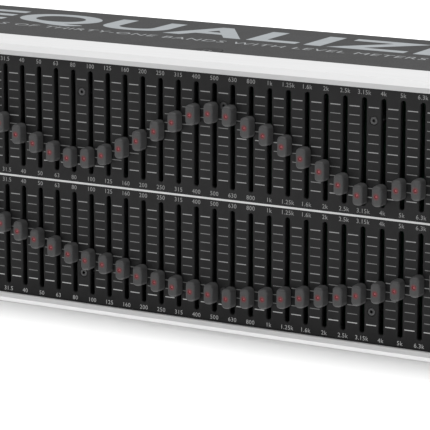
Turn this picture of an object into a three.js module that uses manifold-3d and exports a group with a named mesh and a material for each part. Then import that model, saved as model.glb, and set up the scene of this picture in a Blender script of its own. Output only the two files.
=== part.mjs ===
// A 19 inch, three-unit rack graphic equalizer: two channels of 31 slide faders in a shallow steel case.
// Sizes are in millimetres. X runs along the front, Y from the front into the case, Z up from the
// surface that the case stands on. Until the last lines, Y is counted from the fascia's front face.
import * as THREE from "three";
import { mergeVertices } from "three/addons/utils/BufferGeometryUtils.js";
import Module from "manifold-3d";

const wasm = await Module();
wasm.setup();

// ---- Driving dimensions ----
const PANEL_WIDTH = 482.6;
const PANEL_HEIGHT = 132.5;
const CASE_WIDTH = 440;
const SHEET = 1.2; // steel of the tray, cover and rear panel
const GAP = 0.3; // between pieces that touch on the real object

const LIP_FRONT = -2; // the silver frame stands this far in front of the fascia
const LIP_HEIGHT = 2.4;
const EDGE_CHAMFER = 2.65;
const EAR_BACK = 1.5;
const FLANGE_FRONT = 1;
const FLANGE_DEPTH = 28;
const FLANGE_THICK = 2;
const WINDOW_HALF_WIDTH = 217.5;
const EAR_SLOT = { x: 232.55, halfSpacing: 28.58, length: 10.2, width: 6.8 };

const FASCIA_THICK = 2;
const COVER_TOP = 131.5;
const CASE_BACK = 119.2;
const COVER_BACK = 120.6;

const BAND_COUNT = 31;
const BAND_PITCH = 10;
const FIRST_BAND_X = -115;
const ROW_OFFSET = 30.75; // from the panel's middle height to the middle of a row of slots
const SLOT = { length: 51.4, width: 2.5 };
const SCALE_MM_PER_DB = 42.65 / 24;

const CAP = { width: 5.4, height: 10.1, corner: 1.9, front: -6.8, back: -0.6 };
const STEM = { width: 1.2, height: 4.4, back: 11.5 };
const POT = { width: 5.4, length: 58, front: 8.5, groove: 2.3, grooveBack: 13, back: 15.6 };
const BOARD = { front: 15.5, thick: 1.6 };

const SCREW_PITCH = 80;
const FIRST_SCREW_X = -130;
const SCREW_FROM_SLOT_END = 10.7;
const SCREW = { headRadius: 2.1, headThick: 0.9, shankRadius: 1.3, boreRadius: 2.4, boreDepth: 1.3 };

const KNOB = { x: -163, dz: 9, radius: 8, front: -13, back: -1, shaftRadius: 3, shaftBack: 4 };
const BUTTON = { width: 8.4, height: 5.4, front: -3.5, dz: -16 };
const METER = { x: -202, width: 13, height: 46 };
const POWER = { x: 203, z: 22, radius: 5.5, front: -5 };

const CONNECTOR_BACK = 122;
const XLR_Z = 86;
const JACK_Z = 44;
const INPUT_X = [175, 140];
const OUTPUT_X = [80, 45];
const MAINS = { x: -160, z: 40 };

const MIDDLE = PANEL_HEIGHT / 2;
const WINDOW_HALF_HEIGHT = MIDDLE - EDGE_CHAMFER - LIP_HEIGHT;

// The bands, and where each fader stands, in decibels of boost or cut.
const BANDS = ["20", "25", "31_5", "40", "50", "63", "80", "100", "125", "160", "200", "250", "315", "400",
  "500", "630", "800", "1k", "1_25k", "1_6k", "2k", "2_5k", "3_15k", "4k", "5k", "6_3k", "8k", "10k",
  "12_5k", "16k", "20k"];
const CHANNELS = [
  {
    name: "upper",
    middle: MIDDLE + ROW_OFFSET,
    outward: 1,
    settings: [3, 0.8, -2, -4.8, -6.8, -8.8, -9.9, -9.5, -8.1, -5.7, -3, 0.2, 3.2, 5.7, 6.6, 6.3, 3.7, 2.1,
      -0.3, -3, -5.9, -8.9, -11.1, -10.9, -8.7, -8.1, -6.8, -4.6, -2, 0.4, 2],
  },
  {
    name: "lower",
    middle: MIDDLE - ROW_OFFSET,
    outward: -1,
    settings: [7, 5.5, 3.7, 2, 0.3, -1.4, -2.7, -3.9, -4.4, -5.3, -6.4, -7.4, -8.1, -8.7, -8.8, -9.4, -8.7,
      -8.1, -7.3, -6.4, -5.5, -4.7, -3.6, -2.4, -1, 0.7, 2.3, 3.7, 4.8, 5.6, 6.2],
  },
];
// Sixty nodes are the limit, so these bands' faders slide, and the outer ones are joined to their board.
const FIRST_SLIDING = BANDS.indexOf("50");
const LAST_SLIDING = BANDS.indexOf("4k");

// ---- Materials ----
function material(color, roughness, metalness) {
  return new THREE.MeshStandardMaterial({ color, roughness, metalness });
}
const MATERIALS = {
  silver: material(0xd8d8d8, 0.35, 0.9),
  fascia: material(0x2c2c2c, 0.55, 0.1),
  cover: material(0x575757, 0.6, 0.2),
  steel: material(0x4a4a4c, 0.55, 0.4),
  cap: material(0x4c4c4c, 0.6, 0),
  knob: material(0x333333, 0.55, 0),
  board: material(0x1f4a2c, 0.6, 0),
  connector: material(0x1c1c1c, 0.5, 0),
  core: material(0x6a6a6e, 0.5, 0.6),
  lens: material(0x14100f, 0.15, 0),
};

// ---- Making and joining solids ----
function solid(geometry) {
  const bare = geometry.index ? geometry.toNonIndexed() : geometry;
  bare.deleteAttribute("normal");
  bare.deleteAttribute("uv");
  const merged = mergeVertices(bare, 1e-4);
  const vertProperties = new Float32Array(merged.attributes.position.array);
  const triVerts = new Uint32Array(merged.index.array);
  return new wasm.Manifold(new wasm.Mesh({ numProp: 3, vertProperties, triVerts }));
}

function join(...solids) {
  return solids.flat().reduce((whole, piece) => whole.add(piece));
}

function cut(body, ...tools) {
  return tools.flat().reduce((whole, tool) => whole.subtract(tool), body);
}

function geometryOf(body) {
  const mesh = body.getMesh();
  const geometry = new THREE.BufferGeometry();
  const points = new Float32Array(mesh.numVert * 3);
  for (let i = 0; i < mesh.numVert; i++) {
    const start = i * mesh.numProp;
    points.set(mesh.vertProperties.subarray(start, start + 3), i * 3);
  }
  geometry.setAttribute("position", new THREE.BufferAttribute(points, 3));
  geometry.setIndex(new THREE.BufferAttribute(new Uint32Array(mesh.triVerts), 1));
  geometry.computeVertexNormals();
  return geometry;
}

// A box between two limits on each axis.
function box([x0, x1], [y0, y1], [z0, z1]) {
  const geometry = new THREE.BoxGeometry(x1 - x0, y1 - y0, z1 - z0);
  return solid(geometry.translate((x0 + x1) / 2, (y0 + y1) / 2, (z0 + z1) / 2));
}

// A box of a width and height about a point of the front, between two depths.
function block(x, z, width, height, [y0, y1]) {
  return box([x - width / 2, x + width / 2], [y0, y1], [z - height / 2, z + height / 2]);
}

// A cylinder whose axis runs along Y.
function rod(x, z, radius, [y0, y1], sides = 16) {
  const geometry = new THREE.CylinderGeometry(radius, radius, y1 - y0, sides);
  return solid(geometry.translate(x, (y0 + y1) / 2, z));
}

// A cylinder whose axis runs along Z.
function post(x, y, radius, [z0, z1], sides = 12) {
  const geometry = new THREE.CylinderGeometry(radius, radius, z1 - z0, sides);
  return solid(geometry.rotateX(Math.PI / 2).translate(x, y, (z0 + z1) / 2));
}

// A rounded rectangle drawn about a point: its corners are arcs.
function roundedShape(x, z, width, height, corner) {
  const shape = new THREE.Shape();
  const right = width / 2 - corner;
  const top = height / 2 - corner;
  shape.absarc(x + right, z + top, corner, 0, Math.PI / 2);
  shape.absarc(x - right, z + top, corner, Math.PI / 2, Math.PI);
  shape.absarc(x - right, z - top, corner, Math.PI, Math.PI * 1.5);
  shape.absarc(x + right, z - top, corner, Math.PI * 1.5, Math.PI * 2);
  return shape;
}

// A rectangle drawn about a point, with its corners cut off straight.
function clippedShape(x, z, width, height, clip) {
  const [left, right, bottom, top] = [x - width / 2, x + width / 2, z - height / 2, z + height / 2];
  return new THREE.Shape([
    new THREE.Vector2(left + clip, bottom),
    new THREE.Vector2(right - clip, bottom),
    new THREE.Vector2(right, bottom + clip),
    new THREE.Vector2(right, top - clip),
    new THREE.Vector2(right - clip, top),
    new THREE.Vector2(left + clip, top),
    new THREE.Vector2(left, top - clip),
    new THREE.Vector2(left, bottom + clip),
  ]);
}

// An outline of the front, in X and Z, pushed back from y0 to y1.
function frontal(shape, [y0, y1], curveSegments = 3) {
  const geometry = new THREE.ExtrudeGeometry(shape, { depth: y1 - y0, bevelEnabled: false, curveSegments });
  return solid(geometry.rotateX(Math.PI / 2).translate(0, y1, 0));
}

// A side profile, given as [y, z] points, pushed along X from x0 to x1.
function profile(points, [x0, x1]) {
  const shape = new THREE.Shape(points.map(([y, z]) => new THREE.Vector2(y, z)));
  const geometry = new THREE.ExtrudeGeometry(shape, { depth: x1 - x0, bevelEnabled: false });
  return solid(geometry.rotateX(Math.PI / 2).rotateZ(Math.PI / 2).translate(x0, 0, 0));
}

// ---- Placing ----
const unit = new THREE.Group();

function place(name, body, finish) {
  const mesh = new THREE.Mesh(geometryOf(body), finish);
  mesh.name = name;
  unit.add(mesh);
}

function bandX(index) {
  return FIRST_BAND_X + index * BAND_PITCH;
}

function screwPoints(channel) {
  const z = channel.middle + channel.outward * (SLOT.length / 2 - SCREW_FROM_SLOT_END);
  return [0, 1, 2, 3, 4].map((i) => [FIRST_SCREW_X + i * SCREW_PITCH, z]);
}

// ---- Silver front frame: two chamfered rails, two rack ears, and lugs that hold the cover ----
function frontFrame() {
  const lipBack = -GAP;
  const rail = [
    [LIP_FRONT, MIDDLE + WINDOW_HALF_HEIGHT],
    [LIP_FRONT, PANEL_HEIGHT - EDGE_CHAMFER],
    [LIP_FRONT + EDGE_CHAMFER, PANEL_HEIGHT],
    [EAR_BACK, PANEL_HEIGHT],
    [EAR_BACK, PANEL_HEIGHT - FLANGE_THICK],
    [FLANGE_FRONT, PANEL_HEIGHT - FLANGE_THICK],
    [lipBack, PANEL_HEIGHT - EDGE_CHAMFER - GAP],
    [lipBack, MIDDLE + WINDOW_HALF_HEIGHT],
  ];
  const mirrored = rail.map(([y, z]) => [y, PANEL_HEIGHT - z]).reverse();
  const ear = [
    [LIP_FRONT, EDGE_CHAMFER],
    [LIP_FRONT, PANEL_HEIGHT - EDGE_CHAMFER],
    [LIP_FRONT + EDGE_CHAMFER, PANEL_HEIGHT],
    [EAR_BACK, PANEL_HEIGHT],
    [EAR_BACK, 0],
    [LIP_FRONT + EDGE_CHAMFER, 0],
  ];
  const half = PANEL_WIDTH / 2;
  const caseHalf = CASE_WIDTH / 2;
  const earInner = caseHalf + 2 * GAP + SHEET;
  const pieces = [profile(rail, [-half, half]), profile(mirrored, [-half, half])];
  for (const side of [-1, 1]) {
    const across = (a, b) => [side * a, side * b].sort((p, q) => p - q);
    pieces.push(profile(ear, across(earInner, half)));
    pieces.push(box(across(WINDOW_HALF_WIDTH, earInner + 1), [LIP_FRONT, lipBack], [4, PANEL_HEIGHT - 4]));
  }
  const flange = [FLANGE_FRONT, FLANGE_DEPTH];
  pieces.push(box([-caseHalf, caseHalf], flange, [PANEL_HEIGHT - FLANGE_THICK, PANEL_HEIGHT]));
  pieces.push(box([-caseHalf, caseHalf], flange, [0, FLANGE_THICK]));
  const lugTop = COVER_TOP - SHEET - GAP;
  for (const x of [-190, 0, 190]) {
    const across = [x - 12, x + 12];
    pieces.push(box(across, [FLANGE_DEPTH - SHEET, FLANGE_DEPTH], [lugTop - SHEET, PANEL_HEIGHT - 1]));
    pieces.push(box(across, [FLANGE_DEPTH - SHEET, FLANGE_DEPTH + 14], [lugTop - SHEET, lugTop]));
  }
  const slots = [-1, 1].flatMap((sx) => [-1, 1].map((sz) => frontal(
    roundedShape(sx * EAR_SLOT.x, MIDDLE + sz * EAR_SLOT.halfSpacing, EAR_SLOT.length, EAR_SLOT.width,
      EAR_SLOT.width / 2),
    [LIP_FRONT - 1, EAR_BACK + 1],
  )));
  return cut(join(pieces), slots);
}

// ---- Black fascia: a slot for each fader, and holes for the screws and the other controls ----
function fasciaPanel() {
  const halfWidth = CASE_WIDTH / 2 - 0.5;
  const halfHeight = MIDDLE - EDGE_CHAMFER - 0.55;
  const outline = roundedShape(0, MIDDLE, 2 * halfWidth, 2 * halfHeight, 0.5);
  const through = [-1, FASCIA_THICK + 1];
  const bores = [rod(POWER.x, POWER.z, POWER.radius + 0.5, through, 20)];
  for (const channel of CHANNELS) {
    for (let i = 0; i < BAND_COUNT; i++) {
      outline.holes.push(clippedShape(bandX(i), channel.middle, SLOT.width, SLOT.length, SLOT.width * 0.3));
    }
    for (const x of buttonXs()) {
      const z = channel.middle + BUTTON.dz;
      outline.holes.push(roundedShape(x, z, BUTTON.width + 0.8, BUTTON.height + 0.8, 0.8));
    }
    outline.holes.push(roundedShape(METER.x, channel.middle, METER.width + 0.6, METER.height + 0.6, 0.8));
    bores.push(rod(KNOB.x, channel.middle + KNOB.dz, KNOB.shaftRadius + 0.7, through, 12));
    for (const [x, z] of screwPoints(channel)) {
      bores.push(rod(x, z, SCREW.shankRadius + 0.4, through, 10));
      bores.push(rod(x, z, SCREW.boreRadius, [-1, SCREW.boreDepth], 10));
    }
  }
  return cut(frontal(outline, [0, FASCIA_THICK], 1), bores);
}

// ---- Case: a U-shaped tray, a cover with short side lips, and a rear panel ----
function chassisTray() {
  const half = CASE_WIDTH / 2;
  const floorFront = FLANGE_DEPTH + GAP;
  const flangeTop = FLANGE_THICK + GAP;
  const wallTop = COVER_TOP - SHEET - GAP;
  const wallFront = FASCIA_THICK + 3 * GAP;
  const side = [
    [wallFront, flangeTop],
    [floorFront, flangeTop],
    [floorFront, 0],
    [CASE_BACK, 0],
    [CASE_BACK, wallTop],
    [wallFront, wallTop],
  ].reverse();
  const tongues = [-150, 0, 150].flatMap((x) => [
    box([x - 20, x + 20], [floorFront, floorFront + SHEET], [0, flangeTop + SHEET]),
    box([x - 20, x + 20], [12, floorFront + SHEET], [flangeTop, flangeTop + SHEET]),
  ]);
  return join(
    box([-half, half], [floorFront, CASE_BACK], [0, SHEET]),
    profile(side, [-half, SHEET - half]),
    profile(side, [half - SHEET, half]),
    tongues,
  );
}

function topCover() {
  const half = CASE_WIDTH / 2;
  const front = FLANGE_DEPTH + 2 * GAP;
  const lipDepth = 12;
  return join(
    box([-half - GAP - SHEET, half + GAP + SHEET], [front, COVER_BACK], [COVER_TOP - SHEET, COVER_TOP]),
    box([-half - GAP - SHEET, -half - GAP], [front, CASE_BACK], [COVER_TOP - lipDepth, COVER_TOP]),
    box([half + GAP, half + GAP + SHEET], [front, CASE_BACK], [COVER_TOP - lipDepth, COVER_TOP]),
    box([-half, half], [CASE_BACK + GAP, COVER_BACK], [COVER_TOP - lipDepth, COVER_TOP]),
  );
}

function rearPanel() {
  const half = CASE_WIDTH / 2 - SHEET - GAP;
  const span = [CASE_BACK - SHEET, CASE_BACK];
  const through = [span[0] - 1, span[1] + 1];
  const holes = [...INPUT_X, ...OUTPUT_X].flatMap((x) => [
    rod(x, XLR_Z, 12.1, through, 20),
    rod(x, JACK_Z, 5, through, 12),
  ]);
  holes.push(block(MAINS.x, MAINS.z, 28, 21, through));
  return cut(box([-half, half], span, [SHEET + GAP, COVER_TOP - SHEET - GAP]), holes);
}

// ---- Fader: a cap and the lever that carries it through the slot ----
function fader(x, z, stemBack) {
  const cap = frontal(roundedShape(x, z, CAP.width, CAP.height, CAP.corner), [CAP.front, CAP.back], 1);
  return join(cap, block(x, z, STEM.width, STEM.height, [CAP.back - 1, stemBack]));
}

function faderZ(channel, index) {
  return channel.middle + channel.settings[index] * SCALE_MM_PER_DB;
}

function slides(index) {
  return index >= FIRST_SLIDING && index <= LAST_SLIDING;
}

// ---- Channel board: its slide pots, standoffs with their screws, and the backs of the other controls ----
function slidePot(x, z) {
  const can = block(x, z, POT.width, POT.length, [POT.front, POT.back]);
  return cut(can, block(x, z, POT.groove, POT.length + 2, [POT.front - 1, POT.grooveBack]));
}

function standoff(x, z) {
  const seat = SCREW.boreDepth - GAP;
  return join(
    rod(x, z, 2.2, [FASCIA_THICK + GAP, BOARD.front + 0.1], 8),
    rod(x, z, SCREW.shankRadius, [seat - 0.1, FASCIA_THICK + GAP + 1], 8),
    rod(x, z, SCREW.headRadius, [seat - SCREW.headThick, seat], 10),
  );
}

function buttonXs() {
  return [KNOB.x - 13, KNOB.x + 13];
}

function channelBoard(channel) {
  const halfWidth = 214;
  const boardHeight = 60;
  const onBoard = (front) => [front, BOARD.front + 0.1];
  const pieces = [
    block(0, channel.middle, 2 * halfWidth, boardHeight, [BOARD.front, BOARD.front + BOARD.thick]),
    block(KNOB.x, channel.middle + KNOB.dz, 16, 16, onBoard(KNOB.shaftBack + 0.4)),
    block(METER.x, channel.middle, METER.width, METER.height, onBoard(4)),
    ...buttonXs().map((x) => block(x, channel.middle + BUTTON.dz, 8, 8, onBoard(5.4))),
    ...screwPoints(channel).map(([x, z]) => standoff(x, z)),
  ];
  if (channel.name === "lower") {
    pieces.push(block(POWER.x, POWER.z, 14, 14, onBoard(7)));
  }
  for (let i = 0; i < BAND_COUNT; i++) {
    const x = bandX(i);
    pieces.push(slidePot(x, channel.middle));
    if (!slides(i)) {
      const z = faderZ(channel, i);
      pieces.push(fader(x, z, STEM.back));
      pieces.push(block(x, z, POT.groove + 0.4, STEM.height + 2, [STEM.back - 2, POT.grooveBack + 0.4]));
    }
  }
  return join(pieces);
}

// ---- Gain knob, push buttons and meter window ----
function gainKnob(channel) {
  const z = channel.middle + KNOB.dz;
  const pointer = block(KNOB.x, z + KNOB.radius * 0.6, 1.2, KNOB.radius * 0.8, [KNOB.front - 0.5, KNOB.front + 1]);
  return cut(
    join(
      rod(KNOB.x, z, KNOB.radius, [KNOB.front, KNOB.back], 24),
      rod(KNOB.x, z, KNOB.shaftRadius, [KNOB.back - 1, KNOB.shaftBack], 12),
    ),
    pointer,
  );
}

function pushButton(x, z) {
  const collar = FASCIA_THICK + 0.4;
  return join(
    frontal(roundedShape(x, z, BUTTON.width, BUTTON.height, 0.8), [BUTTON.front, collar + 0.1], 2),
    block(x, z, BUTTON.width + 2, BUTTON.height + 2, [collar, collar + 1]),
  );
}

function powerButton() {
  const collar = FASCIA_THICK + 0.4;
  return join(
    rod(POWER.x, POWER.z, POWER.radius, [POWER.front, collar + 0.1], 20),
    rod(POWER.x, POWER.z, POWER.radius + 1.5, [collar, collar + 1], 20),
  );
}

function meterWindow(channel) {
  const shape = roundedShape(METER.x, channel.middle, METER.width, METER.height, 0.6);
  return frontal(shape, [-0.2, FASCIA_THICK], 2);
}

// ---- Inside: main board and transformer ----
function mainBoard() {
  const top = 13.6;
  const pieces = [box([-110, 200], [32, 88], [12, top])];
  for (const x of [-104, 45, 194]) {
    for (const y of [37, 83]) {
      pieces.push(post(x, y, 3, [SHEET + GAP, 12.1], 8));
    }
  }
  for (let i = 0; i < 6; i++) {
    pieces.push(post(-90 + i * 16, 72, 6, [top - 0.1, top + 22], 10));
  }
  for (let i = 0; i < 8; i++) {
    pieces.push(box([-20 + i * 26, -8 + i * 26], [44, 62], [top - 0.1, top + 3.5]));
  }
  return join(pieces);
}

function powerTransformer() {
  const x = MAINS.x;
  return join(
    box([x - 30, x + 30], [46, 88], [8, 52]),
    box([x - 18, x + 18], [38, 96], [14, 46]),
    box([x - 42, x + 42], [58, 76], [SHEET + GAP, 9]),
  );
}

// ---- Rear connectors ----
const REAR_BOARD = 94;
const FLANGE_FACE = CASE_BACK + GAP;

function xlrShell(x) {
  return join(
    rod(x, XLR_Z, 11.7, [REAR_BOARD + 1, FLANGE_FACE + 1], 20),
    block(x, XLR_Z, 26, 31, [FLANGE_FACE, FLANGE_FACE + 1.8]),
  );
}

function pinPoints(x) {
  return [[x - 4.2, XLR_Z + 2.1], [x + 4.2, XLR_Z + 2.1], [x, XLR_Z - 4.7]];
}

function xlrInput(x) {
  const face = FLANGE_FACE + 1.8;
  return cut(xlrShell(x), pinPoints(x).map(([px, pz]) => rod(px, pz, 1.5, [face - 12, face + 1], 8)));
}

function xlrOutput(x) {
  const face = FLANGE_FACE + 1.8;
  const cup = cut(xlrShell(x), rod(x, XLR_Z, 9.5, [face - 16, face + 1], 20));
  return join(cup, pinPoints(x).map(([px, pz]) => rod(px, pz, 1.2, [face - 17, face - 2.5], 8)));
}

function jackSocket(x) {
  const sleeve = join(
    block(x, JACK_Z, 15, 15, [REAR_BOARD + 1, CASE_BACK - SHEET - GAP]),
    rod(x, JACK_Z, 4.5, [CASE_BACK - 4, CONNECTOR_BACK], 12),
    rod(x, JACK_Z, 6.4, [FLANGE_FACE, CONNECTOR_BACK - 0.6], 6),
  );
  return cut(sleeve, rod(x, JACK_Z, 3.3, [CONNECTOR_BACK - 22, CONNECTOR_BACK + 1], 12));
}

function connectorBoard() {
  return join(
    box([24, 196], [REAR_BOARD, REAR_BOARD + BOARD.thick], [30, 106]),
    INPUT_X.map(xlrInput),
    OUTPUT_X.map(xlrOutput),
    [...INPUT_X, ...OUTPUT_X].map(jackSocket),
  );
}

function mainsInlet() {
  const { x, z } = MAINS;
  const floor = CONNECTOR_BACK - 16;
  const shell = join(
    block(x, z, 27, 20, [floor - 2, FLANGE_FACE + 1]),
    block(x, z, 48, 24, [FLANGE_FACE, CONNECTOR_BACK]),
  );
  const hollow = cut(shell, block(x, z, 24, 16.4, [floor, CONNECTOR_BACK + 1]));
  const blades = [[-7, -2], [7, -2], [0, 2]].map(([dx, dz]) => block(x + dx, z + dz, 2, 4, [floor - 1, floor + 13]));
  return join(hollow, blades);
}

// ---- Assembly ----
place("front_frame", frontFrame(), MATERIALS.silver);
place("fascia_panel", fasciaPanel(), MATERIALS.fascia);
place("chassis_tray", chassisTray(), MATERIALS.steel);
place("top_cover", topCover(), MATERIALS.cover);
place("rear_panel", rearPanel(), MATERIALS.steel);
place("main_board", mainBoard(), MATERIALS.board);
place("power_transformer", powerTransformer(), MATERIALS.core);
place("connector_board", connectorBoard(), MATERIALS.connector);
place("mains_inlet", mainsInlet(), MATERIALS.connector);
place("power_button", powerButton(), MATERIALS.knob);

for (const channel of CHANNELS) {
  const [eqX, detectX] = buttonXs();
  const buttonZ = channel.middle + BUTTON.dz;
  place(`${channel.name}_channel_board`, channelBoard(channel), MATERIALS.board);
  place(`${channel.name}_meter_window`, meterWindow(channel), MATERIALS.lens);
  place(`${channel.name}_gain_knob`, gainKnob(channel), MATERIALS.knob);
  place(`${channel.name}_eq_button`, pushButton(eqX, buttonZ), MATERIALS.knob);
  place(`${channel.name}_detect_button`, pushButton(detectX, buttonZ), MATERIALS.knob);
  for (let i = FIRST_SLIDING; i <= LAST_SLIDING; i++) {
    const body = fader(bandX(i), faderZ(channel, i), STEM.back);
    place(`${channel.name}_fader_${BANDS[i]}`, body, MATERIALS.cap);
  }
}

// The origin is under the middle of the whole box, from the knobs' fronts to the connectors' backs.
unit.children.forEach((mesh) => mesh.position.setY(-(KNOB.front + CONNECTOR_BACK) / 2));

export default unit;
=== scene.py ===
"""The looks of a three-unit rack graphic equalizer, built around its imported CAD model.

Shapes are written in millimetres: X along the front, Z up from the surface that the case stands on,
and Y into the case from the fascia's front face. add_piece() turns them into the frame's metres.
"""
import math

import bmesh
import bpy
from mathutils import Matrix, Vector
from mathutils.geometry import tessellate_polygon


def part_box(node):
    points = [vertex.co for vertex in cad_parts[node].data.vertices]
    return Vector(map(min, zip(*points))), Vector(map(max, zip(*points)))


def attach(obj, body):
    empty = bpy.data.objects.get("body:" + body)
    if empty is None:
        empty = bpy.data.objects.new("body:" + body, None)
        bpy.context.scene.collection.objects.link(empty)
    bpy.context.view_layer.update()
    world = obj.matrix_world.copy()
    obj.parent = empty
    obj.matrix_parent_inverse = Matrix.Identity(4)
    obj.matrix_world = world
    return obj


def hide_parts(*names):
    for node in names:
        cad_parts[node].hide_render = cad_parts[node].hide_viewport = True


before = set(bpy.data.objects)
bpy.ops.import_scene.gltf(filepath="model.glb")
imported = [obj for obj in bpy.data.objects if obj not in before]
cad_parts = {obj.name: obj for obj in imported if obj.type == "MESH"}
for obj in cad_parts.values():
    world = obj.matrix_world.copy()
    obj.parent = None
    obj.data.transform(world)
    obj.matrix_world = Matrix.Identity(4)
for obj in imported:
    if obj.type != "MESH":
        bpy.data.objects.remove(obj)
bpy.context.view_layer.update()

MM = 0.001
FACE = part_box("fascia_panel")[0].y


def span(node):
    """A CAD node's lowest and highest corners in millimetres, with Y from the fascia's front face."""
    low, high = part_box(node)
    shift = Vector((0, FACE, 0))
    return (low - shift) / MM, (high - shift) / MM


def centre(node):
    low, high = span(node)
    return (low + high) / 2


# ---- Sizes, from the frame where it has them ----
PANEL_LOW, PANEL_HIGH = span("front_frame")
PANEL_MIDDLE = (PANEL_LOW.z + PANEL_HIGH.z) / 2
WINDOW_WIDTH = 435
COVER_LOW, COVER_HIGH = span("top_cover")
REAR_FACE = span("rear_panel")[1].y
CONNECTOR_FACE = span("connector_board")[1].y

BANDS = ["20", "25", "31.5", "40", "50", "63", "80", "100", "125", "160", "200", "250", "315", "400", "500",
         "630", "800", "1k", "1.25k", "1.6k", "2k", "2.5k", "3.15k", "4k", "5k", "6.3k", "8k", "10k", "12.5k",
         "16k", "20k"]
FIRST_SLIDING = BANDS.index("50")
LAST_SLIDING = BANDS.index("4k")
CHANNELS = ["upper", "lower"]
ROW_MIDDLE = {channel: centre(f"{channel}_channel_board").z for channel in CHANNELS}
OUTWARD = {"upper": 1, "lower": -1}
SLOT = {"length": 51.4, "width": 2.5}
MM_PER_DB = 42.65 / 24
# Where the faders that don't slide stand, in decibels: the four lowest bands and the seven highest.
FIXED_SETTINGS = {
    "upper": [3, 0.8, -2, -4.8, -8.7, -8.1, -6.8, -4.6, -2, 0.4, 2],
    "lower": [7, 5.5, 3.7, 2, -1, 0.7, 2.3, 3.7, 4.8, 5.6, 6.2],
}

CAP = {"width": 5.3, "height": 10.1, "corner": 2.1, "fillet": 1.2, "front": -6.8, "back": -0.6}
LEVER = {"width": 1.2, "height": 4.4, "back": 11.5}
SCREW_COLUMNS = [-130 + 80 * i for i in range(5)]
SCREW_FROM_MIDDLE = 15
SCREW_HOLE = 2.05
SPINDLE_HOLE = 3.7
KEY_HOLE = {"width": 9.2, "height": 6.2, "corner": 1}
POWER_HOLE = 6
LAMP_HOLE = 1.2
LAMP_ABOVE_BUTTON = 6.2
LAMP_ABOVE_POWER = 11
INK = 0.04
TICK = {"count": 11, "reach": 21.3, "length": 5.3, "bold": 0.46, "fine": 0.38, "drop": 0.15}
NUMBER_HEIGHT = 2.1
NUMBER_GAP = 2.5
NUMBER_DROP = 0.25
DIVIDER = {"height": 0.95, "drop": 0.25, "margin": 4}
DIAL = {"steps": 11, "degrees": 30, "inner": 9.6, "outer": 11.6}
METER = {"lamps": 12, "lit": 7, "pitch": 3.3, "half_width": 3.4, "half_height": 0.85}
POT = {"half_width": 2.7, "groove": 1.15, "front": 8.5, "half_length": 29}
SHEET = 1.2
COVER_LIP = 12
DIMPLE = {"y": 36.5, "radius": 7.8, "depth": 1.1}
COVER_SIDE_SCREWS_Y = [48, 102]
COVER_REAR_SCREWS_X = [-200, -70, 70, 200]
TRAY_SCREWS_X = [-150, 0, 150]
COVER_PRINT_X = -9
PANEL_BOARD = {"front": 15.5, "thick": 1.6, "width": 428, "height": 60}
LUG_X = [-190, 0, 190]
INPUTS = [175, 140]
OUTPUTS = [80, 45]
XLR_Z = 86
JACK_Z = 44
REAR_BOARD = 94
XLR_FACE = 121.3
XLR_PINS = [(4.2, 2.1), (-4.2, 2.1), (0, -4.7)]
MAIN_BOARD = {"x": 45, "y": 60, "top": 13.6}


def sliding_node(channel, index):
    return f"{channel}_fader_{BANDS[index].replace('.', '_')}"


def slides(index):
    return FIRST_SLIDING <= index <= LAST_SLIDING


FIRST_X = centre(sliding_node("upper", FIRST_SLIDING)).x
LAST_X = centre(sliding_node("upper", LAST_SLIDING)).x
PITCH = (LAST_X - FIRST_X) / (LAST_SLIDING - FIRST_SLIDING)


def band_x(index):
    return FIRST_X + (index - FIRST_SLIDING) * PITCH


def cap_z(channel, index):
    """The height of the middle of a fader's cap."""
    if slides(index):
        return centre(sliding_node(channel, index)).z
    place = index if index < FIRST_SLIDING else index - LAST_SLIDING + FIRST_SLIDING - 1
    return ROW_MIDDLE[channel] + FIXED_SETTINGS[channel][place] * MM_PER_DB


def screw_points(channel):
    z = ROW_MIDDLE[channel] + OUTWARD[channel] * SCREW_FROM_MIDDLE
    return [(x, z) for x in SCREW_COLUMNS]


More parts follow.
